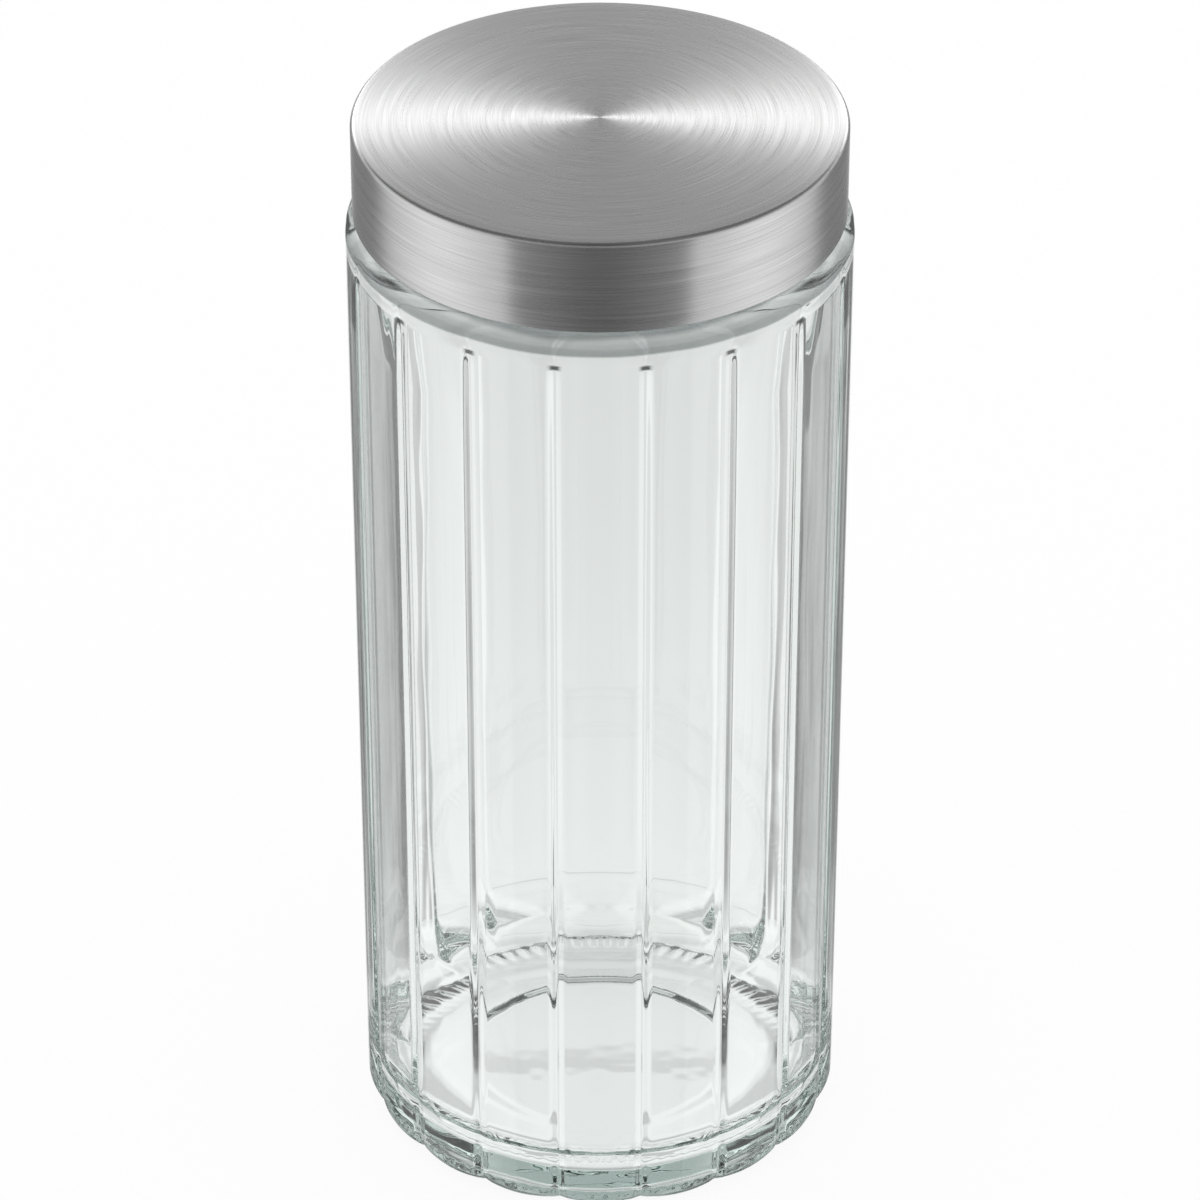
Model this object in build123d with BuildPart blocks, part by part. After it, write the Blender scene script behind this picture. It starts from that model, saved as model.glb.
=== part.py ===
"""Lidded glass storage canister: fluted glass jar, threaded plastic insert in a
brushed steel cap, and a soft sealing ring between the insert and the glass rim.

Millimetres, +Z up. The origin is the centre of the base, on the plane the jar stands on.
The cap is a right-hand, multi-start screw: one turn raises it by `lead`.
"""
import os
from math import cos, radians, sin

from build123d import *

# ---------------------------------------------------------------- glass jar body
body_r = 55.0           # outer radius over the lobes
shoulder_z = 234.2      # height of the land under the cap
wall = 3.6              # side wall at a lobe
heel_r = 6.0            # outside corner at the base
shoulder_r = 4.5        # outside corner under the cap
foot_w = 6.0            # width of the flat ring it stands on
punt_h = 3.0            # height of the hollow under the base
floor_z = 6.5           # inside floor
corner_r = 14.0         # inside corner at the floor

# ---------------------------------------------------------------- flutes
lobes = 18              # lobes round the jar, one of them centred on the front
groove_r = 2.2          # radius of the groove between two lobes
groove_depth = 1.0
groove_drop = 2.4       # full depth starts this far below the shoulder corner
runout_r = 14.0         # radius of the groove's run-out at the top
runout_angle = 40.0     # degrees
heel_turn = 75.0        # degrees of the heel that the groove follows
heel_exit = 6.0         # straight end of the groove under the heel

# ---------------------------------------------------------------- neck and thread
neck_step = 5.4         # from the lobes in to the neck
neck_h = 18.5           # from the land up to the rim
neck_wall = 5.1         # neck wall between the thread ribs
rim_fillet = 1.4
neck_turn = 60.0        # degrees of each arc of the inside curve up to the mouth
neck_curve_drop = 9.0   # the inside curve starts this far below the land
starts = 4              # thread starts
lead = 24.0             # rise in one turn
rib_h = 1.3             # radial height of a rib
rib_base = 2.6          # axial width of a rib at its root
rib_crest = 1.2         # axial width of a rib at its crest
rib_span = 80.0         # degrees covered by one rib
rib_sink = 0.4          # depth of the rib's root inside its wall

# ---------------------------------------------------------------- cap
seal_t = 2.0            # sealing ring, thickness
seal_gap = 0.4          # clearance of the sealing ring, inside and outside
lip_gap = 0.9           # clearance of the locating lip in the mouth
lip_w = 1.2             # width of the locating lip
lip_reach = 1.0         # the lip ends this far below the rim
thread_gap = 0.4        # radial clearance between the two threads
insert_wall = 1.4       # insert, side wall
insert_top = 1.2        # insert, top plate
insert_fit = 0.1        # clearance between the insert and the steel
steel_t = 0.5           # sheet thickness
cap_edge_r = 1.0        # outside radius of the cap's top edge
cap_gap = 0.6           # clearance between the cap and the land

# ---------------------------------------------------------------- derived sizes
neck_r = body_r - neck_step
mouth_r = neck_r - neck_wall
cavity_r = body_r - wall
foot_out = body_r - heel_r
foot_in = foot_out - foot_w
rim_z = shoulder_z + neck_h
wall_top_z = shoulder_z - shoulder_r
rib_rise = lead * rib_span / 360
start_pitch = lead / starts
thread_mid_z = shoulder_z + neck_h / 2
jar_rib_z = thread_mid_z + start_pitch / 4 - rib_rise / 2
insert_rib_z = jar_rib_z - start_pitch / 2
insert_bore = neck_r + rib_h + thread_gap
insert_r = insert_bore + insert_wall
plate_z = rim_z + seal_t
cap_inner_r = insert_r + insert_fit
cap_r = cap_inner_r + steel_t
cap_low_z = shoulder_z + cap_gap
cap_top_z = plate_z + insert_top + steel_t
insert_low_z = cap_low_z + steel_t + insert_fit
lip_r = mouth_r - lip_gap
front_angle = -90.0

os.makedirs("parts", exist_ok=True)


# ---------------------------------------------------------------- one groove between two lobes
# A round cutter that follows the wall and the heel, and leaves the glass in an arc at the top.
track_x = body_r - groove_depth + groove_r
heel_track_r = track_x - foot_out
groove_top_z = wall_top_z - groove_drop
heel_end = heel_turn - 90

with BuildPart() as groove:
    with BuildLine(Plane.XZ) as groove_track:
        run_out = CenterArc((track_x + runout_r, groove_top_z), runout_r, 180 - runout_angle, runout_angle)
        side = Line((track_x, groove_top_z), (track_x, heel_r))
        heel = CenterArc((foot_out, heel_r), heel_track_r, 0, -heel_turn)
        under = Line(
            heel @ 1,
            (
                foot_out + heel_track_r * cos(radians(heel_turn)) - heel_exit * cos(radians(heel_end)),
                heel_r - heel_track_r * sin(radians(heel_turn)) + heel_exit * sin(radians(heel_end)),
            ),
        )
    with BuildSketch(Plane(origin=run_out @ 0, x_dir=(0, 1, 0), z_dir=run_out % 0)):
        Circle(groove_r)
    sweep(path=groove_track.line)


# ---------------------------------------------------------------- thread ribs
def rib_track(radius, low_z):
    """Centre line of one thread rib, from its low end."""
    return Helix(pitch=lead, height=rib_rise, radius=radius, center=(0, 0, low_z))


def rib_profile(track, direction):
    """Sketch of a rib's section on the start of its track; direction 1 stands out, -1 stands in."""
    with BuildSketch(Plane(origin=track @ 0, x_dir=(1, 0, 0), z_dir=track % 0)) as section:
        with BuildLine():
            Polyline(
                (-direction * rib_sink, -rib_base / 2),
                (0, -rib_base / 2),
                (direction * rib_h, -rib_crest / 2),
                (direction * rib_h, rib_crest / 2),
                (0, rib_base / 2),
                (-direction * rib_sink, rib_base / 2),
                close=True,
            )
        make_face()
    return section.sketch


with BuildPart() as jar_rib:
    with BuildLine() as jar_rib_path:
        add(rib_track(neck_r, jar_rib_z))
    sweep(sections=rib_profile(jar_rib_path.line, 1), path=jar_rib_path.line, is_frenet=True)

with BuildPart() as insert_rib:
    with BuildLine() as insert_rib_path:
        add(rib_track(insert_bore, insert_rib_z))
    sweep(sections=rib_profile(insert_rib_path.line, -1), path=insert_rib_path.line, is_frenet=True)


# ---------------------------------------------------------------- glass jar
with BuildPart() as glass_jar:
    # outside, from the hollow under the base round to the rim
    with BuildSketch(Plane.XZ):
        with BuildLine():
            punt = TangentArc((0, punt_h), (foot_in, 0), tangent=(1, 0))
            foot = Line(punt @ 1, (foot_out, 0))
            heel_arc = CenterArc((foot_out, heel_r), heel_r, -90, 90)
            body_side = Line(heel_arc @ 1, (body_r, wall_top_z))
            shoulder = CenterArc((body_r - shoulder_r, wall_top_z), shoulder_r, 0, 90)
            land = Line(shoulder @ 1, (neck_r, shoulder_z))
            neck_side = Line(land @ 1, (neck_r, rim_z))
            rim = Line(neck_side @ 1, (0, rim_z))
            Line(rim @ 1, punt @ 0)
        make_face()
    revolve(axis=Axis.Z)

    # flutes, with a lobe centred on the front
    with PolarLocations(0, lobes, start_angle=front_angle + 180 / lobes):
        add(groove.part, mode=Mode.SUBTRACT)

    # inside, from the floor up an S-shaped curve to the mouth
    with BuildSketch(Plane.XZ):
        with BuildLine():
            curve_r = (cavity_r - mouth_r) / (2 * (1 - cos(radians(neck_turn))))
            floor_line = Line((0, floor_z), (cavity_r - corner_r, floor_z))
            corner = CenterArc((cavity_r - corner_r, floor_z + corner_r), corner_r, -90, 90)
            inside = Line(corner @ 1, (cavity_r, shoulder_z - neck_curve_drop))
            lower_curve = JernArc(inside @ 1, (0, 1), curve_r, neck_turn)
            upper_curve = JernArc(lower_curve @ 1, lower_curve % 1, curve_r, -neck_turn)
            throat = Line(upper_curve @ 1, (mouth_r, rim_z))
            mouth = Line(throat @ 1, (0, rim_z))
            Line(mouth @ 1, floor_line @ 0)
        make_face()
    revolve(axis=Axis.Z, mode=Mode.SUBTRACT)
    rim_edges = glass_jar.edges().filter_by(GeomType.CIRCLE).group_by(Axis.Z)[-1]
    fillet(rim_edges, rim_fillet)

    # external thread
    with PolarLocations(0, starts):
        add(jar_rib.part)
glass_jar.part.label = "glass_jar"


# ---------------------------------------------------------------- threaded insert
with BuildPart() as thread_insert:
    with BuildSketch(Plane.XZ):
        with BuildLine():
            Polyline(
                (0, plate_z),
                (lip_r - lip_w, plate_z),
                (lip_r - lip_w, rim_z - lip_reach),
                (lip_r, rim_z - lip_reach),
                (lip_r, plate_z),
                (insert_bore, plate_z),
                (insert_bore, insert_low_z),
                (insert_r, insert_low_z),
                (insert_r, plate_z + insert_top),
                (0, plate_z + insert_top),
                close=True,
            )
        make_face()
    revolve(axis=Axis.Z)
    top_edge = thread_insert.edges().filter_by(GeomType.CIRCLE).group_by(Axis.Z)[-1]
    fillet(top_edge, cap_edge_r - steel_t + insert_fit)
    # internal thread, half a pitch below the ribs on the glass
    with PolarLocations(0, starts):
        add(insert_rib.part)
thread_insert.part.label = "thread_insert"


# ---------------------------------------------------------------- sealing ring
with BuildPart() as seal_ring:
    with BuildSketch(Plane.XY.offset(rim_z)):
        Circle(insert_bore - seal_gap)
        Circle(lip_r + seal_gap, mode=Mode.SUBTRACT)
    extrude(amount=seal_t)
seal_ring.part.label = "seal_ring"


# ---------------------------------------------------------------- steel cap
# Drawn from sheet: flat top, rounded edge, straight skirt, lower edge turned in under the insert.
with BuildPart() as lid_shell:
    with BuildSketch(Plane.XZ):
        with BuildLine():
            top = Line((0, cap_top_z), (cap_r - cap_edge_r, cap_top_z))
            edge = CenterArc((cap_r - cap_edge_r, cap_top_z - cap_edge_r), cap_edge_r, 90, -90)
            skirt = Line(edge @ 1, (cap_r, cap_low_z + steel_t))
            roll = CenterArc((cap_inner_r, cap_low_z + steel_t), steel_t, 0, -90)
            hem_low = Line(roll @ 1, (insert_bore, cap_low_z))
            hem_end = Line(hem_low @ 1, (insert_bore, cap_low_z + steel_t))
            hem_top = Line(hem_end @ 1, (cap_inner_r, cap_low_z + steel_t))
            skirt_in = Line(hem_top @ 1, (cap_inner_r, cap_top_z - cap_edge_r))
            edge_in = CenterArc(
                (cap_r - cap_edge_r, cap_top_z - cap_edge_r), cap_edge_r - steel_t, 0, 90
            )
            under_top = Line(edge_in @ 1, (0, cap_top_z - steel_t))
            Line(under_top @ 1, top @ 0)
        make_face()
    revolve(axis=Axis.Z)
lid_shell.part.label = "lid_shell"


export_step(glass_jar.part, "parts/glass_jar.step")
export_step(thread_insert.part, "parts/thread_insert.step")
export_step(seal_ring.part, "parts/seal_ring.step")
export_step(lid_shell.part, "parts/lid_shell.step")
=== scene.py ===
"""Lidded glass storage canister: fluted jar, threaded insert, sealing ring and brushed steel cap.

Metres, +Z up, the jar standing on z = 0. Everything round is turned from an outline by one
Geometry Nodes group; the flutes, the nibs under the foot and the threads are pushed into that surface.
"""
from math import cos, degrees, hypot, pi, radians, sin, tau

import bpy
from mathutils import Matrix, Vector


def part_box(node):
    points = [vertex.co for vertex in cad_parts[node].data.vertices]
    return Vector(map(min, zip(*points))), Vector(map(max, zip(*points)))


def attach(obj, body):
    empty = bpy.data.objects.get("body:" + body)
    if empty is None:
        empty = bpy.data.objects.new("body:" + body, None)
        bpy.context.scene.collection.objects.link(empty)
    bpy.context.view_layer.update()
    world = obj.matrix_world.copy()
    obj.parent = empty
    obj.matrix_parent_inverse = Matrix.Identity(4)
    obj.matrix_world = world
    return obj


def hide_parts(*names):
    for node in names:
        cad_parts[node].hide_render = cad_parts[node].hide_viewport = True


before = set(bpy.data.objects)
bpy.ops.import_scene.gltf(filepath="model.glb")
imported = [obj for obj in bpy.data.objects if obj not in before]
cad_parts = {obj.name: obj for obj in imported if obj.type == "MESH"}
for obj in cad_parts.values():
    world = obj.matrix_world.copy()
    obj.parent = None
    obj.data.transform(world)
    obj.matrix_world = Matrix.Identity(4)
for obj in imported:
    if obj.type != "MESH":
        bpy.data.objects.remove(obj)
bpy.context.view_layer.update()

MM = 0.001

# ---------------------------------------------------------------- sizes read from the frame
jar_low, jar_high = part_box("glass_jar")
insert_low, insert_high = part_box("thread_insert")
seal_low, seal_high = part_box("seal_ring")
cap_low, cap_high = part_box("lid_shell")

BODY_R = max(jar_high.x, jar_high.y)
RIM_Z = jar_high.z
INSERT_R = max(insert_high.x, insert_high.y)
CAP_R = max(cap_high.x, cap_high.y)
CAP_LOW_Z = cap_low.z
CAP_TOP_Z = cap_high.z
PLATE_Z = seal_high.z
SEAL_R = max(seal_high.x, seal_high.y)

# ---------------------------------------------------------------- sizes of the glass
SHOULDER_Z = CAP_LOW_Z - 0.6 * MM
WALL = 3.6 * MM
HEEL_R = 6.0 * MM
SHOULDER_R = 4.5 * MM
FOOT_W = 6.0 * MM
PUNT_H = 3.0 * MM
PUNT_STEP_R = 27.0 * MM
PUNT_STEP_W = 4.0 * MM
PUNT_STEP_H = 1.1 * MM
PUNT_SKIRT_H = 1.4 * MM
FLOOR_Z = 6.5 * MM
CORNER_R = 14.0 * MM
NECK_R = BODY_R - 5.4 * MM
MOUTH_R = NECK_R - 5.1 * MM
RIM_R = 1.4 * MM
NECK_TURN = radians(60)
NECK_CURVE_DROP = 9.0 * MM

LOBES = 18
GROOVE_DEPTH = 0.28 * MM
GROOVE_WIDTH = 1.6 * MM
GROOVE_DROP = 2.4 * MM
GROOVE_RUNOUT = 9.0 * MM
LOBE_CROWN = 0.12 * MM
HEEL_CROWN = 0.72 * MM          # the lobes stand out more at the heel than up the wall
HEEL_CROWN_FULL_Z = 4.0 * MM
HEEL_CROWN_END_Z = 22.0 * MM
NIBS = 108
NIB_H = 0.22 * MM
NIB_EDGE = 1.2 * MM
# height of the painted shade at the top of each groove
GROOVE_SHADE_Z = SHOULDER_Z - 7.4 * MM

# ---------------------------------------------------------------- sizes of the thread and the cap
STARTS = 4
LEAD = 24.0 * MM
RIB_SPAN = radians(80)
RIB_H = 1.3 * MM
RIB_BASE = 2.6 * MM
RIB_CREST = 1.2 * MM
RIB_RISE = LEAD * RIB_SPAN / tau
START_PITCH = LEAD / STARTS
JAR_RIB_Z = (SHOULDER_Z + RIM_Z) / 2 + START_PITCH / 4 - RIB_RISE / 2
INSERT_RIB_Z = JAR_RIB_Z - START_PITCH / 2
INSERT_BORE = INSERT_R - 1.4 * MM
LIP_R = MOUTH_R - 0.9 * MM
LIP_W = 1.2 * MM
LIP_LOW_Z = RIM_Z - 1.0 * MM
STEEL_T = 0.5 * MM
CAP_EDGE_R = 1.0 * MM
CAP_CROWN = 0.35 * MM

# ---------------------------------------------------------------- view and studio
VIEW_HEADING = radians(0.0)     # how far the camera stands round to the right of the front
VIEW_BACK = 1.0810              # horizontal distance from the jar's axis
VIEW_HEIGHT = 0.8561
VIEW_PITCH = radians(33.79)     # below the horizon
VIEW_LENS = 173.6
FLOOR_R = 4.0


# ================================================================ small kit for node trees
class Field:
    """One output socket of a node tree, with arithmetic that adds Math nodes."""

    def __init__(self, net, socket):
        self.net = net
        self.socket = socket

    def __add__(self, other):
        return self.net.math("ADD", self, other)

    def __radd__(self, other):
        return self.net.math("ADD", other, self)

    def __sub__(self, other):
        return self.net.math("SUBTRACT", self, other)

    def __rsub__(self, other):
        return self.net.math("SUBTRACT", other, self)

    def __mul__(self, other):
        return self.net.math("MULTIPLY", self, other)

    def __rmul__(self, other):
        return self.net.math("MULTIPLY", other, self)

    def __truediv__(self, other):
        return self.net.math("DIVIDE", self, other)

    def __rtruediv__(self, other):
        return self.net.math("DIVIDE", other, self)

    def __abs__(self):
        return self.net.math("ABSOLUTE", self)

    def ramp(self, low, high):
        """0 below low, 1 above high, smooth between."""
        made = self.net.node(
            "ShaderNodeMapRange",
            {"Value": self, "From Min": low, "From Max": high},
            interpolation_type="SMOOTHSTEP",
        )
        return self.net.out(made, "Result")


class Net:
    """A node tree under construction."""

    def __init__(self, tree):
        self.tree = tree

    def node(self, kind, inputs=None, **settings):
        made = self.tree.nodes.new(kind)
        for name, value in settings.items():
            setattr(made, name, value)
        for key, value in (inputs or {}).items():
            self.feed(made.inputs[key], value)
        return made

    def feed(self, socket, value):
        if isinstance(value, Field):
            self.tree.links.new(value.socket, socket)
        else:
            socket.default_value = value

    def out(self, node, key=0):
        return Field(self, node.outputs[key])

    def math(self, operation, *values):
        made = self.node("ShaderNodeMath", dict(enumerate(values)), operation=operation)
        return self.out(made)

    def split(self, vector):
        made = self.node("ShaderNodeSeparateXYZ", {0: vector})
        return [self.out(made, key) for key in ("X", "Y", "Z")]

    def join(self, x, y, z):
        return self.out(self.node("ShaderNodeCombineXYZ", {"X": x, "Y": y, "Z": z}))

    def mix_colour(self, factor, first, second, blend="MIX"):
        made = self.node("ShaderNodeMix", data_type="RGBA", blend_type=blend)
        self.feed(made.inputs["Factor"], factor)
        colours = [socket for socket in made.inputs if socket.type == "RGBA"]
        self.feed(colours[0], first)
        self.feed(colours[1], second)
        return Field(self, next(s for s in made.outputs if s.type == "RGBA"))

    def noise(self, vector, scale, detail=2.0, roughness=0.5, key="Fac"):
        made = self.node(
            "ShaderNodeTexNoise",
            {"Vector": vector, "Scale": scale, "Detail": detail, "Roughness": roughness},
        )
        return self.out(made, key)

    def group(self, tree, inputs):
        kind = "GeometryNodeGroup" if tree.type == "GEOMETRY" else "ShaderNodeGroup"
        made = self.tree.nodes.new(kind)
        made.node_tree = tree
        for key, value in inputs.items():
            self.feed(made.inputs[key], value)
        return made


def new_group(name, kind, inputs, outputs):
    """A node group with named sockets; returns its net, its input fields and its output node."""
    tree = bpy.data.node_groups.new(name, kind)
    for socket_name, socket_type, default in inputs:
        made = tree.interface.new_socket(name=socket_name, in_out="INPUT", socket_type=socket_type)
        if default is not None:
            made.default_value = default
    for socket_name, socket_type in outputs:
        tree.interface.new_socket(name=socket_name, in_out="OUTPUT", socket_type=socket_type)
    net = Net(tree)
    entry = tree.nodes.new("NodeGroupInput")
    leave = tree.nodes.new("NodeGroupOutput")
    fields = {socket_name: Field(net, entry.outputs[socket_name]) for socket_name, _, _ in inputs}
    return net, fields, leave


# ================================================================ outlines
class Outline:
    """A turned piece's section: points (r, z) in order, with the outward normal and named weights."""

    def __init__(self):
        self.points = []

    def add(self, r, z, normal, **weights):
        self.points.append((r, z, normal, weights))

    def line(self, start, end, steps, weigh=None, skip_first=True):
        """Points from start to end; weigh(share) gives the weights at that share of the way."""
        along = Vector((end[0] - start[0], end[1] - start[1])).normalized()
        normal = (along.y, -along.x)
        for step in range(1 if skip_first else 0, steps + 1):
            share = step / steps
            r = start[0] + (end[0] - start[0]) * share
            z = start[1] + (end[1] - start[1]) * share
            self.add(r, z, normal, **(weigh(r, z) if weigh else {}))

    def profile(self, height, radii, facing=-1):
        """Points on a surface z = height(r) that faces down (-1) or up (1)."""
        for r in radii:
            slope = (height(r + 1e-5) - height(r - 1e-5)) / 2e-5
            size = hypot(1, slope) * facing
            self.add(r, height(r), (-slope / size, 1 / size))

    def arc(self, centre, radius, first, last, steps, weigh=None, hollow=False):
        """Points on an arc from angle first to last, in degrees; hollow arcs have their centre outside."""
        for step in range(1, steps + 1):
            angle = radians(first + (last - first) * step / steps)
            normal = (cos(angle), sin(angle))
            r = centre[0] + radius * normal[0]
            z = centre[1] + radius * normal[1]
            if hollow:
                normal = (-normal[0], -normal[1])
            self.add(r, z, normal, **(weigh(r, z) if weigh else {}))

    def mesh(self, name, weights):
        """The outline as an edge chain in the XZ plane, with its normals and weights as attributes."""
        made = bpy.data.meshes.new(name)
        chain = [(i, i + 1) for i in range(len(self.points) - 1)]
        made.from_pydata([(r, 0, z) for r, z, _, _ in self.points], chain, [])
        normals = made.attributes.new("outward", "FLOAT_VECTOR", "POINT")
        for i, (_, _, normal, _) in enumerate(self.points):
            normals.data[i].vector = (normal[0], 0, normal[1])
        for weight in weights:
            values = made.attributes.new(weight, "FLOAT", "POINT")
            for i, point in enumerate(self.points):
                values.data[i].value = point[3].get(weight, 0.0)
        return made


def smooth(value, low, high):
    share = min(max((value - low) / (high - low), 0.0), 1.0)
    return share * share * (3 - 2 * share)


def glass_outline():
    """Under the base, round the heel, up the wall, over the shoulder, up the neck, and down inside."""
    outline = Outline()
    foot_out = BODY_R - HEEL_R
    foot_in = foot_out - FOOT_W
    wall_top = SHOULDER_Z - SHOULDER_R
    groove_top = wall_top - GROOVE_DROP

    def outside(r, z):
        under = smooth(r, foot_out - 1.5 * MM, foot_out + 2.0 * MM)
        heel = 1 - smooth(z, HEEL_CROWN_FULL_Z, HEEL_CROWN_END_Z)
        top = 1 - smooth(z, groove_top - GROOVE_RUNOUT / 2, groove_top + GROOVE_RUNOUT / 2)
        crown = 1 - smooth(z, wall_top, SHOULDER_Z)
        lobed = under * crown * (1 + (HEEL_CROWN / LOBE_CROWN - 1) * heel)
        return {"flute": under * top, "crown": lobed, "crowd": smooth(z, 0.3 * MM, 3.0 * MM)}

    def foot(r, z):
        inner = smooth(r, foot_in, foot_in + NIB_EDGE)
        return {"nib": inner * (1 - smooth(r, foot_out - NIB_EDGE, foot_out))}

    def neck(r, z):
        return {"thread": 1.0, "crowd": 1.0}

    def inside(r, z):
        lower = smooth(z, FLOOR_Z + CORNER_R * 0.5, FLOOR_Z + CORNER_R * 1.5)
        upper = 1 - smooth(z, SHOULDER_Z - 2 * NECK_CURVE_DROP, SHOULDER_Z - NECK_CURVE_DROP)
        return {"wave": lower * upper, "crowd": smooth(z, FLOOR_Z, FLOOR_Z + 4 * MM)}

    # the hollow under the base: a shallow dome, a step down, then a gentle slope to the foot
    step_out = PUNT_STEP_R + PUNT_STEP_W
    dome_h = PUNT_H - PUNT_STEP_H - PUNT_SKIRT_H

    def punt_z(r):
        if r < PUNT_STEP_R:
            return PUNT_H - dome_h * (r / PUNT_STEP_R) ** 2
        if r < step_out:
            return PUNT_SKIRT_H + PUNT_STEP_H * (1 - smooth(r, PUNT_STEP_R, step_out))
        return PUNT_SKIRT_H * (foot_in - r) / (foot_in - step_out)

    outline.profile(punt_z, [step_out * i / 40 for i in range(40)])
    outline.profile(punt_z, [step_out + (foot_in - step_out) * i / 6 for i in range(6)])
    outline.line((foot_in, 0), (foot_out, 0), 8, foot, skip_first=False)
    outline.arc((foot_out, HEEL_R), HEEL_R, -90, 0, 16, outside)
    outline.line((BODY_R, HEEL_R), (BODY_R, groove_top - GROOVE_RUNOUT), 14, outside)
    outline.line((BODY_R, groove_top - GROOVE_RUNOUT), (BODY_R, wall_top), 12, outside)
    outline.arc((BODY_R - SHOULDER_R, wall_top), SHOULDER_R, 0, 90, 14, outside)
    outline.line((BODY_R - SHOULDER_R, SHOULDER_Z), (NECK_R + 0.4 * MM, SHOULDER_Z), 1, neck)
    outline.arc((NECK_R + 0.4 * MM, SHOULDER_Z + 0.4 * MM), 0.4 * MM, -90, -180, 3, neck, hollow=True)
    outline.line((NECK_R, SHOULDER_Z + 0.4 * MM), (NECK_R, RIM_Z - RIM_R), 46, neck)
    outline.arc((NECK_R - RIM_R, RIM_Z - RIM_R), RIM_R, 0, 90, 6)
    outline.line((NECK_R - RIM_R, RIM_Z), (MOUTH_R + RIM_R, RIM_Z), 2)
    outline.arc((MOUTH_R + RIM_R, RIM_Z - RIM_R), RIM_R, 90, 180, 6)

    # inside: S-shaped curve from the mouth out to the wall, then down to the floor
    cavity_r = BODY_R - WALL
    curve_r = (cavity_r - MOUTH_R) / (2 * (1 - cos(NECK_TURN)))
    curve_low = SHOULDER_Z - NECK_CURVE_DROP
    curve_high = curve_low + 2 * curve_r * sin(NECK_TURN)
    turn = degrees(NECK_TURN)
    outline.line((MOUTH_R, RIM_Z - RIM_R), (MOUTH_R, curve_high), 3)
    outline.arc((MOUTH_R + curve_r, curve_high), curve_r, 180, 180 + turn, 8, inside)
    outline.arc((cavity_r - curve_r, curve_low), curve_r, turn, 0, 8, inside, hollow=True)
    outline.line((cavity_r, curve_low), (cavity_r, FLOOR_Z + CORNER_R), 14, inside)
    outline.arc((cavity_r - CORNER_R, FLOOR_Z + CORNER_R), CORNER_R, 0, -90, 16, inside, hollow=True)
    outline.line((cavity_r - CORNER_R, FLOOR_Z), (0, FLOOR_Z), 8)
    return outline


def cap_outline():
    """Drawn steel: crowned top, rounded edge, straight skirt, lower edge turned in under the insert."""
    outline = Outline()
    inner = CAP_R - STEEL_T
    half = STEEL_T / 2
    roll_z = CAP_LOW_Z + STEEL_T
    rim_z = CAP_TOP_Z - CAP_CROWN
    edge_z = rim_z - CAP_EDGE_R
    edge_x = CAP_R - CAP_EDGE_R

    def crown_z(r):
        return CAP_TOP_Z - CAP_CROWN * (r / edge_x) ** 2

    outline.add(0, rim_z - STEEL_T, (0, -1))
    outline.line((0, rim_z - STEEL_T), (edge_x, rim_z - STEEL_T), 12)
    outline.arc((edge_x, edge_z), CAP_EDGE_R - STEEL_T, 90, 0, 5, hollow=True)
    outline.line((inner, edge_z), (inner, roll_z), 6)
    outline.line((inner, roll_z), (INSERT_BORE + half, roll_z), 3)
    outline.arc((INSERT_BORE + half, CAP_LOW_Z + half), half, 90, 270, 6)
    outline.line((INSERT_BORE + half, CAP_LOW_Z), (inner, CAP_LOW_Z), 3)
    outline.arc((inner, roll_z), STEEL_T, -90, 0, 6)
    outline.line((CAP_R, roll_z), (CAP_R, edge_z), 10)
    outline.arc((edge_x, edge_z), CAP_EDGE_R, 0, 90, 12)
    outline.profile(crown_z, [edge_x * (1 - i / 30) for i in range(1, 31)], facing=1)
    return outline


def insert_outline():
    """Moulded liner: top plate, locating lip, side wall with the thread on its inside."""
    outline = Outline()
    top_z = insert_high.z
    low_z = insert_low.z
    soft = 0.3 * MM
    edge_r = 0.6 * MM

    def thread(r, z):
        return {"thread": 1.0}

    outline.add(0, PLATE_Z, (0, -1))
    outline.line((0, PLATE_Z), (LIP_R - LIP_W, PLATE_Z), 6)
    outline.line((LIP_R - LIP_W, PLATE_Z), (LIP_R - LIP_W, LIP_LOW_Z + soft), 2)
    outline.arc((LIP_R - LIP_W + soft, LIP_LOW_Z + soft), soft, 180, 270, 4)
    outline.line((LIP_R - LIP_W + soft, LIP_LOW_Z), (LIP_R - soft, LIP_LOW_Z), 1)
    outline.arc((LIP_R - soft, LIP_LOW_Z + soft), soft, -90, 0, 4)
    outline.line((LIP_R, LIP_LOW_Z + soft), (LIP_R, PLATE_Z), 2)
    outline.line((LIP_R, PLATE_Z), (INSERT_BORE, PLATE_Z), 3)
    outline.line((INSERT_BORE, PLATE_Z), (INSERT_BORE, low_z + soft), 60, thread)
    outline.arc((INSERT_BORE + soft, low_z + soft), soft, 180, 270, 4)
    outline.line((INSERT_BORE + soft, low_z), (INSERT_R - soft, low_z), 1)
    outline.arc((INSERT_R - soft, low_z + soft), soft, -90, 0, 4)
    outline.line((INSERT_R, low_z + soft), (INSERT_R, top_z - edge_r), 6)
    outline.arc((INSERT_R - edge_r, top_z - edge_r), edge_r, 0, 90, 5)
    outline.line((INSERT_R - edge_r, top_z), (0, top_z), 6)
    return outline


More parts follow.
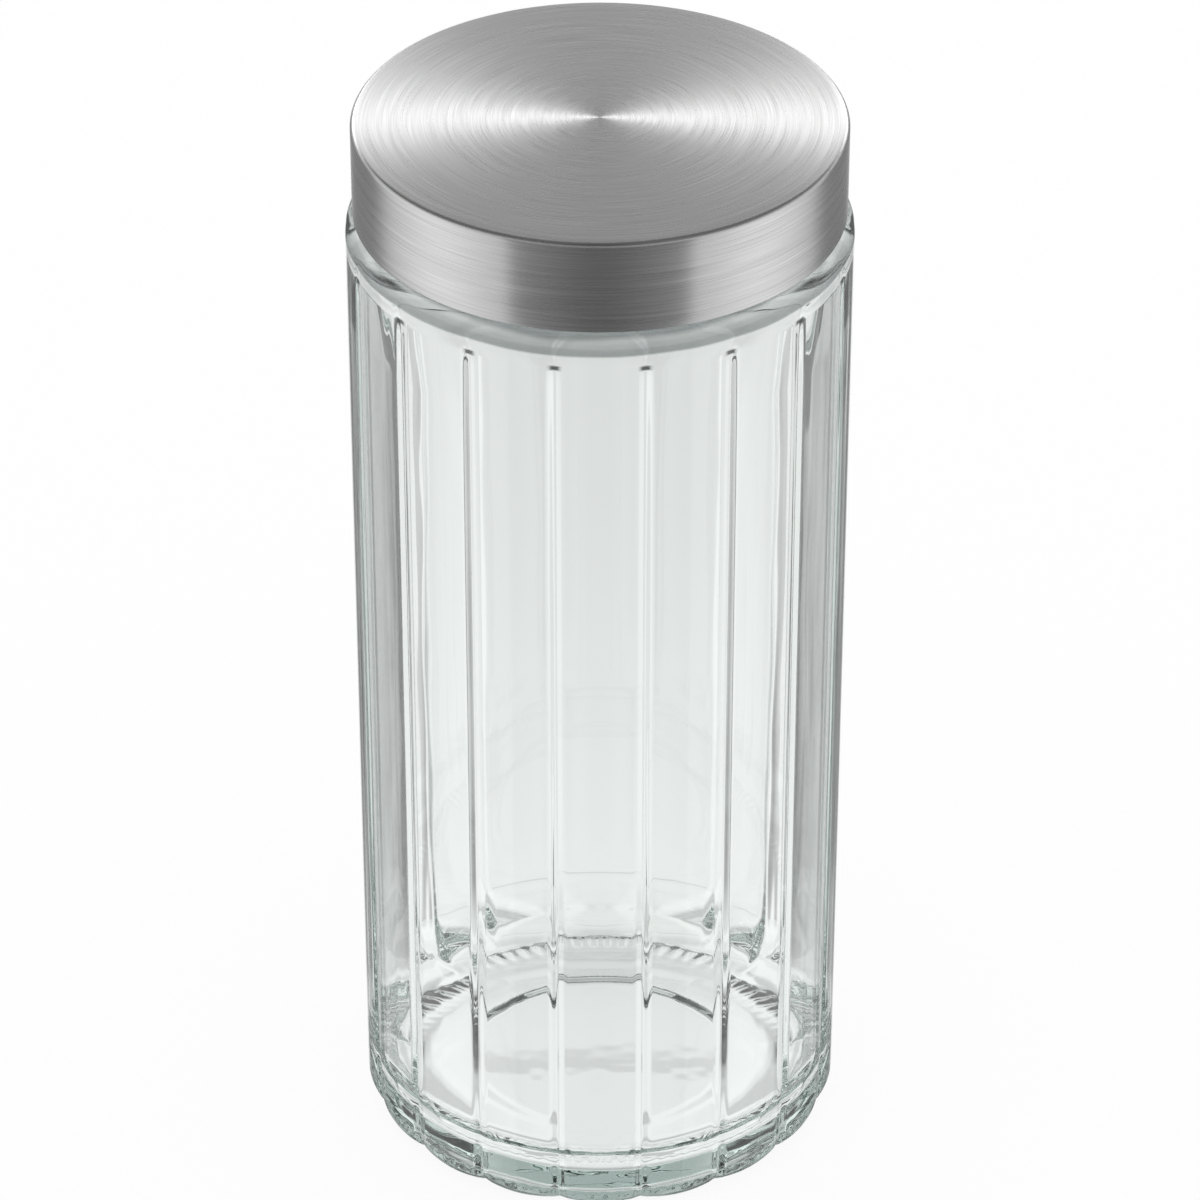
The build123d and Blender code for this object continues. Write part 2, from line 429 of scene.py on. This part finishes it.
def seal_outline():
    """Flat ring with rounded edges; it starts and ends at the same point of its section."""
    outline = Outline()
    inner = LIP_R + 0.4 * MM
    soft = 0.4 * MM
    low_z = seal_low.z
    outline.line((inner + soft, low_z), (SEAL_R - soft, low_z), 4, skip_first=False)
    outline.arc((SEAL_R - soft, low_z + soft), soft, -90, 0, 5)
    outline.line((SEAL_R, low_z + soft), (SEAL_R, PLATE_Z - soft), 1)
    outline.arc((SEAL_R - soft, PLATE_Z - soft), soft, 0, 90, 5)
    outline.line((SEAL_R - soft, PLATE_Z), (inner + soft, PLATE_Z), 4)
    outline.arc((inner + soft, PLATE_Z - soft), soft, 90, 180, 5)
    outline.line((inner, PLATE_Z - soft), (inner, low_z + soft), 1)
    outline.arc((inner + soft, low_z + soft), soft, 180, 270, 5)
    return outline


# ================================================================ turning an outline
def lathe_group():
    """Outline chain in, grid out: each point's turn angle, outline place and normal, ready to be placed."""
    net, given, leave = new_group(
        "Lathe",
        "GeometryNodeTree",
        [
            ("Outline", "NodeSocketGeometry", None),
            ("Segments", "NodeSocketInt", 96),
        ],
        [
            ("Grid", "NodeSocketGeometry"),
            ("Turn", "NodeSocketFloat"),
            ("Outline Point", "NodeSocketInt"),
            ("Place", "NodeSocketVector"),
            ("Outward", "NodeSocketVector"),
        ],
    )
    count = net.node("GeometryNodeAttributeDomainSize", {"Geometry": given["Outline"]}, component="MESH")
    columns = given["Segments"] + 1
    grid = net.node(
        "GeometryNodeMeshGrid", {"Vertices X": net.out(count, "Point Count"), "Vertices Y": columns}
    )
    index = net.out(net.node("GeometryNodeInputIndex"))
    row = net.math("FLOOR", (index + 0.5) / columns)
    column = index - row * columns
    net.feed(leave.inputs["Grid"], net.out(grid, "Mesh"))
    net.feed(leave.inputs["Turn"], column / given["Segments"] * tau)
    net.feed(leave.inputs["Outline Point"], row)
    place = net.out(net.node("GeometryNodeInputPosition"))
    outward = net.out(
        net.node("GeometryNodeInputNamedAttribute", {"Name": "outward"}, data_type="FLOAT_VECTOR"),
        "Attribute",
    )
    for key, value in (("Place", place), ("Outward", outward)):
        found = net.node(
            "GeometryNodeSampleIndex",
            {"Geometry": given["Outline"], "Index": row},
            data_type="FLOAT_VECTOR",
        )
        net.feed(next(s for s in found.inputs if s.type == "VECTOR"), value)
        net.feed(leave.inputs[key], Field(net, next(s for s in found.outputs if s.type == "VECTOR")))
    return net.tree


def thread_group():
    """Height of a multi-start thread rib at a turn angle and a height, with ends that taper away."""
    net, given, leave = new_group(
        "Thread rib",
        "GeometryNodeTree",
        [
            ("Turn", "NodeSocketFloat", 0.0),
            ("Z", "NodeSocketFloat", 0.0),
            ("Low Z", "NodeSocketFloat", 0.0),
            ("Starts", "NodeSocketInt", STARTS),
            ("Lead", "NodeSocketFloat", LEAD),
            ("Span", "NodeSocketFloat", RIB_SPAN),
            ("Base", "NodeSocketFloat", RIB_BASE),
            ("Crest", "NodeSocketFloat", RIB_CREST),
            ("Height", "NodeSocketFloat", RIB_H),
        ],
        [("Height", "NodeSocketFloat")],
    )
    taper = radians(7)
    sector = tau / given["Starts"]
    along = net.math("FLOORED_MODULO", given["Turn"] + 1e-5, sector)
    centre = given["Low Z"] + given["Lead"] * along / tau
    across = abs(given["Z"] - centre)
    section = 1 - across.ramp(given["Crest"] / 2, given["Base"] / 2)
    ends = along.ramp(0.0, taper) * (1 - along.ramp(given["Span"] - taper, given["Span"]))
    net.feed(leave.inputs["Height"], given["Height"] * section * ends)
    return net.tree


def finish_tree(net, leave, lathe, turn, place, outward, push, material):
    """Places each grid point round the axis, pushed along its normal, and closes seam and poles."""
    r, _, z = net.split(place)
    out_r, _, out_z = net.split(outward)
    radius = r + out_r * push
    position = net.join(
        radius * net.math("COSINE", turn), radius * net.math("SINE", turn), z + out_z * push
    )
    placed = net.node("GeometryNodeSetPosition", {"Geometry": net.out(lathe, "Grid"), "Position": position})
    merged = net.node(
        "GeometryNodeMergeByDistance", {"Geometry": net.out(placed), "Distance": 2e-6}
    )
    turned = net.node("GeometryNodeFlipFaces", {"Mesh": net.out(merged)})
    shaded = net.node("GeometryNodeSetShadeSmooth", {"Geometry": net.out(turned)})
    realised = net.node("GeometryNodeRealizeInstances", {"Geometry": net.out(shaded)})
    painted = net.node("GeometryNodeSetMaterial", {"Geometry": net.out(realised)})
    painted.inputs["Material"].default_value = material
    net.feed(leave.inputs["Geometry"], net.out(painted))


def outline_weight(net, given, lathe, name):
    """One of the outline's weights, read for every point of the grid."""
    weight = net.out(
        net.node("GeometryNodeInputNamedAttribute", {"Name": name}, data_type="FLOAT"), "Attribute"
    )
    found = net.node(
        "GeometryNodeSampleIndex",
        {"Geometry": given["Outline"], "Index": net.out(lathe, "Outline Point")},
        data_type="FLOAT",
    )
    net.feed(next(s for s in found.inputs if s.type == "VALUE"), weight)
    return Field(net, next(s for s in found.outputs if s.type == "VALUE"))


def glass_tree(lathe_tree, thread_tree, material):
    """Fluted jar: lobes with grooves between them, nibs under the foot, thread ribs on the neck."""
    net, given, leave = new_group(
        "Fluted jar",
        "GeometryNodeTree",
        [
            ("Outline", "NodeSocketGeometry", None),
            ("Segments", "NodeSocketInt", 432),
            ("Lobes", "NodeSocketInt", LOBES),
            ("Body Radius", "NodeSocketFloat", BODY_R),
            ("Groove Depth", "NodeSocketFloat", GROOVE_DEPTH),
            ("Groove Width", "NodeSocketFloat", GROOVE_WIDTH),
            ("Lobe Crown", "NodeSocketFloat", LOBE_CROWN),
            ("Crowding", "NodeSocketFloat", 0.55),
            ("Nibs", "NodeSocketInt", NIBS),
            ("Nib Height", "NodeSocketFloat", NIB_H),
            ("Inner Wave", "NodeSocketFloat", 0.03 * MM),
            ("Unevenness", "NodeSocketFloat", 0.04 * MM),
            ("Thread Low Z", "NodeSocketFloat", JAR_RIB_Z),
        ],
        [("Geometry", "NodeSocketGeometry")],
    )
    lathe = net.group(lathe_tree, {"Outline": given["Outline"], "Segments": given["Segments"]})
    even_turn = net.out(lathe, "Turn")
    weight = {
        name: outline_weight(net, given, lathe, name)
        for name in ("flute", "crown", "crowd", "thread", "nib", "wave")
    }

    # points crowd together in the grooves; a lobe is centred on the front, at -Y
    pitch = tau / given["Lobes"]
    phase = (even_turn + pi / 2) / pitch
    crowding = given["Crowding"] * weight["crowd"]
    turn = even_turn + crowding * pitch / tau * net.math("SINE", phase * tau)

    lobe = (turn + pi / 2) / pitch + 0.5
    from_groove = 0.5 - abs(net.math("FRACT", lobe + 100) - 0.5)
    distance = from_groove * pitch * given["Body Radius"] / given["Groove Width"]
    groove = given["Groove Depth"] * weight["flute"] * net.math("MAXIMUM", 1 - distance, 0.0)
    swell = net.math("COSINE", phase * tau)
    crown = given["Lobe Crown"] * weight["crown"] * (swell - 1) / 2
    nib = given["Nib Height"] * weight["nib"] * (net.math("COSINE", even_turn * given["Nibs"]) - 1) / 2
    wave = given["Inner Wave"] * weight["wave"] * swell

    place = net.out(lathe, "Place")
    r, _, z = net.split(place)
    at = net.join(r * net.math("COSINE", turn), r * net.math("SINE", turn), z * 0.35)
    uneven = given["Unevenness"] * (weight["wave"] + weight["crown"]) * (net.noise(at, 38.0) - 0.5)
    rib = net.group(thread_tree, {"Turn": turn, "Z": z, "Low Z": given["Thread Low Z"]})
    thread = weight["thread"] * net.out(rib, "Height")

    push = crown + nib + wave + uneven + thread - groove
    finish_tree(net, leave, lathe, turn, place, net.out(lathe, "Outward"), push, material)
    return net.tree


def insert_tree(lathe_tree, thread_tree, material):
    """Threaded insert: the lathe surface with ribs standing in from its bore."""
    net, given, leave = new_group(
        "Threaded insert",
        "GeometryNodeTree",
        [
            ("Outline", "NodeSocketGeometry", None),
            ("Segments", "NodeSocketInt", 288),
            ("Thread Low Z", "NodeSocketFloat", INSERT_RIB_Z),
        ],
        [("Geometry", "NodeSocketGeometry")],
    )
    lathe = net.group(lathe_tree, {"Outline": given["Outline"], "Segments": given["Segments"]})
    turn = net.out(lathe, "Turn")
    place = net.out(lathe, "Place")
    z = net.split(place)[2]
    rib = net.group(thread_tree, {"Turn": turn, "Z": z, "Low Z": given["Thread Low Z"]})
    push = outline_weight(net, given, lathe, "thread") * net.out(rib, "Height")
    finish_tree(net, leave, lathe, turn, place, net.out(lathe, "Outward"), push, material)
    return net.tree


def plain_tree(lathe_tree, material, name):
    """A plain turned piece."""
    net, given, leave = new_group(
        name,
        "GeometryNodeTree",
        [("Outline", "NodeSocketGeometry", None), ("Segments", "NodeSocketInt", 288)],
        [("Geometry", "NodeSocketGeometry")],
    )
    lathe = net.group(lathe_tree, {"Outline": given["Outline"], "Segments": given["Segments"]})
    turn = net.out(lathe, "Turn")
    finish_tree(
        net, leave, lathe, turn, net.out(lathe, "Place"), net.out(lathe, "Outward"), 0.0, material
    )
    return net.tree


def turned_piece(name, outline, weights, tree, values):
    """Runs a tree on an outline and keeps the result as a plain mesh."""
    piece = bpy.data.objects.new(name, outline.mesh(name + "_outline", weights))
    bpy.context.scene.collection.objects.link(piece)
    maker = piece.modifiers.new("Turned", "NODES")
    maker.node_group = tree
    for item in tree.interface.items_tree:
        if item.in_out == "INPUT" and item.name in values:
            maker[item.identifier] = values[item.name]
    depsgraph = bpy.context.evaluated_depsgraph_get()
    made = bpy.data.meshes.new_from_object(piece.evaluated_get(depsgraph))
    piece.modifiers.clear()
    piece.data = made
    made.name = name
    return piece


# ================================================================ materials
def new_material(name):
    """An empty material; returns it, its net and its output node."""
    made = bpy.data.materials.new(name)
    made.use_nodes = True
    made.node_tree.nodes.clear()
    net = Net(made.node_tree)
    return made, net, net.node("ShaderNodeOutputMaterial")


def round_place(net):
    """Object coordinates as radius, height and a vector that has no seam round the axis."""
    at = net.out(net.node("ShaderNodeTexCoord"), "Object")
    x, y, z = net.split(at)
    return at, net.math("SQRT", x * x + y * y + 1e-12), x, y, z


def brushing_group():
    """Lathe brushing: fine lines that run round the axis, broken into arcs."""
    net, given, leave = new_group(
        "Lathe brushing",
        "ShaderNodeTree",
        [
            ("Vector", "NodeSocketVector", None),
            ("Lines", "NodeSocketFloat", 4200.0),
            ("Arc", "NodeSocketFloat", 2.2),
        ],
        [("Line", "NodeSocketFloat"), ("Band", "NodeSocketFloat")],
    )
    x, y, z = net.split(given["Vector"])
    radius = net.math("SQRT", x * x + y * y + 1e-12)
    across = radius - z
    round_x = x / radius
    round_y = y / radius
    fine = net.noise(
        net.join(round_x * given["Arc"], round_y * given["Arc"], across * given["Lines"]), 1.0, 1.5, 0.6
    )
    coarse = net.noise(
        net.join(round_x * given["Arc"] / 2, round_y * given["Arc"] / 2, across * given["Lines"] / 4),
        1.0, 1.0, 0.5,
    )
    net.feed(leave.inputs["Line"], fine)
    net.feed(leave.inputs["Band"], coarse)
    return net.tree


def steel_material(brushing):
    made, net, output = new_material("brushed_steel_cap")
    at = round_place(net)[0]
    lines = net.group(brushing, {"Vector": at})
    fine = net.out(lines, "Line")
    band = net.out(lines, "Band")
    colour = net.mix_colour(
        0.70 * fine + 0.30 * band, (0.34, 0.34, 0.34, 1), (0.92, 0.92, 0.92, 1)
    )
    bump = net.node(
        "ShaderNodeBump", {"Strength": 0.06, "Distance": 0.00003, "Height": fine}
    )
    shader = net.node(
        "ShaderNodeBsdfPrincipled",
        {
            "Base Color": colour,
            "Metallic": 1.0,
            "Roughness": 0.24 + 0.08 * band,
            "Anisotropic": 0.92,
            "Anisotropic Rotation": 0.25,
            "Normal": net.out(bump),
            "Tangent": net.out(net.node("ShaderNodeTangent", direction_type="RADIAL", axis="Z")),
        },
    )
    net.feed(output.inputs["Surface"], net.out(shader))
    return made


def glass_material():
    made, net, output = new_material("clear_glass")
    _, radius, x, y, z = round_place(net)
    ripple = net.noise(net.join(x, y, z * 0.12), 160.0, 1.0)
    bump = net.node("ShaderNodeBump", {"Strength": 0.06, "Distance": 0.0004, "Height": ripple})

    # painted shade: a grey band in the glass's colour where the wall turns into the shoulder, standing in
    # for the cap's shade, with a slightly uneven lower edge
    edge = SHOULDER_Z - SHOULDER_R + 0.9 * MM * (net.noise(net.join(x, y, 0.0), 45.0, 1.0) - 0.5)
    shade = (z - edge).ramp(0.0, 0.7 * MM) * (1 - (z - edge).ramp(1.2 * MM, 4.6 * MM) * 0.45)
    shade = shade * (1 - net.math("GREATER_THAN", z, SHOULDER_Z + 0.2 * MM))

    # painted shade: a small dark mark on the outside at the top of each groove, standing in for the dark
    # seen there
    lobe = net.math("ARCTAN2", y, x) * LOBES / tau + LOBES / 4 + 0.5
    from_groove = (0.5 - abs(net.math("FRACT", lobe + 100) - 0.5)) * tau / LOBES * BODY_R
    groove_top_shade = 1 - from_groove.ramp(0.6 * MM, 2.0 * MM)
    groove_top_shade = groove_top_shade * (1 - abs(z - GROOVE_SHADE_Z).ramp(0.3 * MM, 0.9 * MM))
    groove_top_shade = groove_top_shade * radius.ramp(BODY_R - 2 * MM, BODY_R - 1 * MM)
    painted_shade_colour = net.mix_colour(groove_top_shade, (0.20, 0.22, 0.22, 1), (0.02, 0.022, 0.022, 1))
    shade = net.math("MAXIMUM", shade, groove_top_shade)

    # the base colour carries the painted shade of the shoulder band and of the groove tops
    shader = net.node(
        "ShaderNodeBsdfPrincipled",
        {
            "Base Color": net.mix_colour(shade, (1, 1, 1, 1), painted_shade_colour),
            "Roughness": 0.0,
            "IOR": 1.5,
            "Transmission Weight": 1.0,
            "Normal": net.out(bump),
        },
    )
    net.feed(output.inputs["Surface"], net.out(shader))
    tint = net.node("ShaderNodeVolumeAbsorption", {"Color": (0.35, 0.86, 0.74, 1), "Density": 2.6})
    net.feed(output.inputs["Volume"], net.out(tint))
    return made


def plastic_material():
    made, net, output = new_material("insert_plastic")
    at = round_place(net)[0]
    cloud = net.noise(at, 60.0, 3.0)
    grain = net.noise(at, 4000.0, 2.0)
    colour = net.mix_colour(cloud, (0.80, 0.815, 0.81, 1), (0.88, 0.89, 0.885, 1))
    bump = net.node("ShaderNodeBump", {"Strength": 0.2, "Distance": 0.00004, "Height": grain})
    shader = net.node(
        "ShaderNodeBsdfPrincipled",
        {
            "Base Color": colour,
            "Roughness": 0.32 + 0.14 * grain,
            "IOR": 1.49,
            "Subsurface Weight": 0.15,
            "Subsurface Radius": (0.002, 0.002, 0.002),
            "Normal": net.out(bump),
        },
    )
    net.feed(output.inputs["Surface"], net.out(shader))
    return made


def silicone_material():
    made, net, output = new_material("seal_silicone")
    at = round_place(net)[0]
    dust = net.noise(at, 700.0, 3.0)
    colour = net.mix_colour(dust, (0.62, 0.65, 0.645, 1), (0.72, 0.745, 0.74, 1))
    bump = net.node("ShaderNodeBump", {"Strength": 0.15, "Distance": 0.00005, "Height": dust})
    shader = net.node(
        "ShaderNodeBsdfPrincipled",
        {
            "Base Color": colour,
            "Roughness": 0.45 + 0.2 * dust,
            "IOR": 1.41,
            "Subsurface Weight": 0.35,
            "Subsurface Radius": (0.003, 0.003, 0.003),
            "Normal": net.out(bump),
        },
    )
    net.feed(output.inputs["Surface"], net.out(shader))
    return made


# ================================================================ studio
def azimuth_band(net, azimuth, centre, half, soft):
    """1 inside a band of headings, fading over soft at each side; all in degrees."""
    away = abs(net.math("WRAP", azimuth - centre, 180.0, -180.0))
    return 1 - away.ramp(half - soft / 2, half + soft / 2)


def make_world():
    """Bright studio: soft boxes at both sides for the steel, dark gaps that draw the glass's edges."""
    world = bpy.data.worlds.new("studio")
    bpy.context.scene.world = world
    world.use_nodes = True
    world.node_tree.nodes.clear()
    net = Net(world.node_tree)
    output = net.node("ShaderNodeOutputWorld")
    x, y, z = net.split(net.out(net.node("ShaderNodeTexCoord"), "Generated"))
    heading = net.math("ARCTAN2", x, 0 - y) * degrees(1) - degrees(VIEW_HEADING)
    height = net.math("ARCSINE", z) * degrees(1)

    # seen in reflections: boxes low at both sides, brightest in the middle, a bright wall behind, and
    # above them a ring of light, strongest behind but for a narrow slot there
    side = azimuth_band(net, heading, 79.5, 37.5, 1.5) + azimuth_band(net, heading, -79.5, 37.5, 1.5)
    glow = azimuth_band(net, heading, 80.0, 20.0, 36) + azimuth_band(net, heading, -80.0, 20.0, 36)
    behind = azimuth_band(net, heading, 180.0, 15.0, 8)
    low = 1 - height.ramp(6.0, 14.0)
    ring = height.ramp(14.0, 17.0) * (1 - height.ramp(27.0, 31.0))
    wings = azimuth_band(net, heading, 180.0, 29.0, 12)
    slot = azimuth_band(net, heading, 180.0, 7.0, 8)
    ring = ring * (0.70 + 2.20 * wings - 1.95 * slot)
    mirror = 0.15 + 0.12 * abs(heading).ramp(0.0, 42.0) - 0.10 * height.ramp(28.0, 40.0)
    mirror = mirror + (side * 0.50 + glow * 0.36 + behind * 0.70) * low + ring

    # seen through the glass, eight times round: paper with a grey patch low down, brighter beside
    # that, then a dark gap
    step = net.math("WRAP", heading, 45.0, 0.0)
    aside = net.math("MINIMUM", step, 45.0 - step)
    lower = 1 - height.ramp(-38.0, -31.0)
    paper = 0.75 + 0.12 * lower + (0.20 - 0.10 * lower) * aside.ramp(3.0, 8.0)
    patch = (1 - aside.ramp(3.0, 6.0)) * (1 - height.ramp(-38.6, -37.9)) * height.ramp(-39.2, -38.8)
    gap = 0.35 * aside.ramp(12.0, 15.0) + 0.55 * aside.ramp(15.0, 18.0)
    gap = gap * (0.40 + 0.60 * height.ramp(-39.0, -35.5))
    up = height.ramp(8.0, 16.0)
    through = (paper - gap - 0.17 * patch) * (1 - 0.4 * up)

    light = net.node("ShaderNodeLightPath")
    seen = net.math("MULTIPLY_ADD", net.out(light, "Is Transmission Ray"), through - mirror, mirror)
    plain = net.math("MAXIMUM", net.out(light, "Is Camera Ray"), net.out(light, "Is Diffuse Ray"))
    strength = net.math("MULTIPLY_ADD", plain, 1.0 - seen, seen)
    colour = net.mix_colour(net.out(light, "Is Transmission Ray"), (1, 1, 1, 1), (0.975, 1.0, 0.985, 1))
    background = net.node("ShaderNodeBackground", {"Color": colour, "Strength": strength})
    net.feed(output.inputs["Surface"], net.out(background))


def make_floor():
    """Pale table top that fades into the white surround; only the camera and shadows meet it."""
    made, net, output = new_material("pale_floor")
    radius = round_place(net)[1]
    paint = net.node("ShaderNodeBsdfDiffuse", {"Color": (0.93, 0.93, 0.93, 1)})
    glow = net.node("ShaderNodeEmission", {"Color": (1, 1, 1, 1), "Strength": 1.0})
    blend = net.node(
        "ShaderNodeMixShader",
        {0: 0.92 + 0.08 * radius.ramp(0.3, 1.5), 1: net.out(paint), 2: net.out(glow)},
    )
    net.feed(output.inputs["Surface"], net.out(blend))
    mesh = bpy.data.meshes.new("floor")
    rim = [(FLOOR_R * cos(tau * i / 96), FLOOR_R * sin(tau * i / 96), 0) for i in range(96)]
    mesh.from_pydata(rim, [], [range(96)])
    mesh.materials.append(made)
    floor = bpy.data.objects.new("floor", mesh)
    bpy.context.scene.collection.objects.link(floor)
    floor.visible_glossy = False
    floor.visible_transmission = False
    floor.visible_diffuse = False


def make_camera():
    data = bpy.data.cameras.new("camera")
    data.lens = VIEW_LENS
    data.sensor_width = 36.0
    data.clip_start = 0.05
    data.clip_end = 50.0
    camera = bpy.data.objects.new("camera", data)
    bpy.context.scene.collection.objects.link(camera)
    heading = Matrix.Rotation(VIEW_HEADING, 4, "Z")
    place = Matrix.Translation((0, -VIEW_BACK, VIEW_HEIGHT))
    tilt = Matrix.Rotation(pi / 2 - VIEW_PITCH, 4, "X")
    camera.matrix_world = heading @ place @ tilt
    bpy.context.scene.camera = camera


# ================================================================ the canister
def main():
    brushing = brushing_group()
    glass = glass_material()
    steel = steel_material(brushing)
    plastic = plastic_material()
    silicone = silicone_material()
    lathe = lathe_group()
    thread = thread_group()

    jar = turned_piece(
        "fluted_glass",
        glass_outline(),
        ("flute", "crown", "crowd", "thread", "nib", "wave"),
        glass_tree(lathe, thread, glass),
        {"Segments": 432, "Lobes": LOBES, "Groove Depth": GROOVE_DEPTH},
    )
    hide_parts("glass_jar")
    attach(jar, "jar")

    cap = turned_piece("steel_cap", cap_outline(), (), plain_tree(lathe, steel, "Steel cap"), {})
    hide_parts("lid_shell")
    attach(cap, "lid")

    liner = turned_piece(
        "cap_liner", insert_outline(), ("thread",), insert_tree(lathe, thread, plastic), {}
    )
    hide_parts("thread_insert")
    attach(liner, "lid")

    ring = turned_piece("sealing_ring", seal_outline(), (), plain_tree(lathe, silicone, "Seal"), {})
    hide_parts("seal_ring")
    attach(ring, "seal")

    make_world()
    make_floor()
    make_camera()
    scene = bpy.context.scene
    scene.view_settings.view_transform = "Standard"
    scene.cycles.use_denoising = True
    scene.cycles.max_bounces = 32
    scene.cycles.transmission_bounces = 32
    scene.cycles.glossy_bounces = 32


main()
